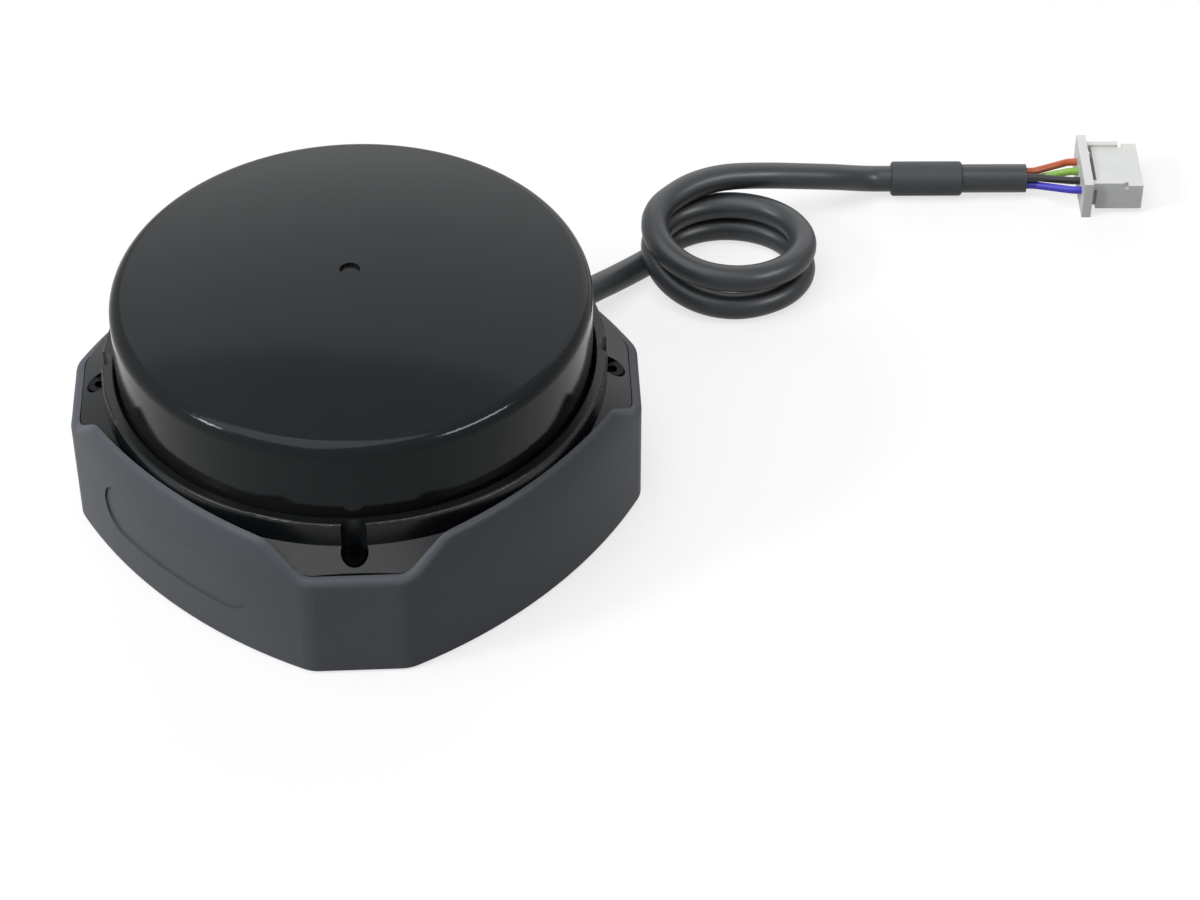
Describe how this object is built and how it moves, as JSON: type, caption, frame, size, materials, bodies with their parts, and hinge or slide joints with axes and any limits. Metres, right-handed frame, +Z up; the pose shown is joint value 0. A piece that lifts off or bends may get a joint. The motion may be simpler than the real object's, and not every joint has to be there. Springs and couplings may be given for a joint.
{
  "type": "lidar sensor",
  "caption": "Enclosed scanning lidar with a square low base, a round domed window cap, a spinning optical head inside and a coiled signal lead with a plug.",
  "frame": {"origin": "centre of the base's underside", "axes": "+Z up along the scanning head's spin axis, -Y towards the front wall with the bare recessed panel, +Y towards the wall where the lead comes out"},
  "size_m": [0.0883, 0.1775, 0.0398],
  "materials": {
    "housing_coat": "matt dark blue-grey coat on a cast housing",
    "window_plastic": "polished infrared-passing window plastic, near black",
    "ring_plastic": "satin black moulded plastic",
    "black_rubber": "matt black rubber",
    "black_steel": "black oxide steel",
    "bright_steel": "ground or plated steel",
    "machined_aluminium": "fine machined aluminium",
    "laminated_steel": "stacked thin steel sheet",
    "copper_winding": "lacquered copper wire",
    "magnet_ferrite": "dark grey sintered magnet",
    "circuit_board": "green solder mask on glass-fibre board",
    "black_plastic": "black moulded plastic",
    "socket_nylon": "natural nylon",
    "weight_brass": "turned brass",
    "lens_glass": "coated optical glass",
    "cable_sheath": "satin dark grey cable sheath",
    "shrink_sleeve": "matt shrunk sleeve",
    "wire_orange": "orange-brown wire insulation",
    "wire_green": "yellow-green wire insulation",
    "wire_black": "black wire insulation",
    "wire_blue": "blue wire insulation",
    "plug_nylon": "white nylon",
    "tin_plate": "tin-plated spring bronze"
  },
  "bodies": {
    "base": {"base_housing": "housing_coat", "window_cap": "window_plastic", "cap_seal": "black_rubber", "clamp_ring": "ring_plastic", "cap_screws": "black_steel", "motor_base": "machined_aluminium", "motor_screws": "bright_steel", "lower_bearing": "bright_steel", "upper_bearing": "bright_steel", "stator_core": "laminated_steel", "stator_windings": "copper_winding", "main_board": "circuit_board", "board_screws": "bright_steel", "board_socket": "socket_nylon", "inner_leads": "black_plastic", "power_coil_fixed": "copper_winding", "encoder_sensor": "black_plastic", "data_link_receiver": "black_plastic", "cable_grommet": "black_rubber", "cable_lead": "cable_sheath", "cable_coil": "cable_sheath", "cable_tail": "cable_sheath", "heat_shrink_sleeve": "shrink_sleeve", "sheath_end": "cable_sheath", "wire_blue": "wire_blue", "wire_black": "wire_black", "wire_green": "wire_green", "wire_orange": "wire_orange", "plug_housing": "plug_nylon", "plug_contacts": "tin_plate"},
    "rotor": {"rotor_shaft": "bright_steel", "shaft_clip": "black_steel", "motor_bell": "bright_steel", "magnet_ring": "magnet_ferrite", "rotor_deck": "machined_aluminium", "deck_screws": "bright_steel", "rotor_board": "circuit_board", "rotor_board_screws": "bright_steel", "power_coil_turning": "copper_winding", "encoder_ring": "black_plastic", "counterweight": "weight_brass", "data_link_emitter": "bright_steel", "optics_frame": "black_plastic", "optics_screws": "bright_steel", "emitter_lens": "lens_glass", "receiver_lens": "lens_glass", "lens_retainers": "black_steel", "sensor_board": "circuit_board", "sensor_board_screws": "bright_steel", "laser_diode": "weight_brass", "light_detector": "black_plastic"}
  },
  "joints": [
    {"name": "rotor_spin", "type": "hinge", "parent": "base", "child": "rotor", "pos_m": [0, 0, 0.012], "axis": [0, 0, 1], "continuous": true}
  ]
}
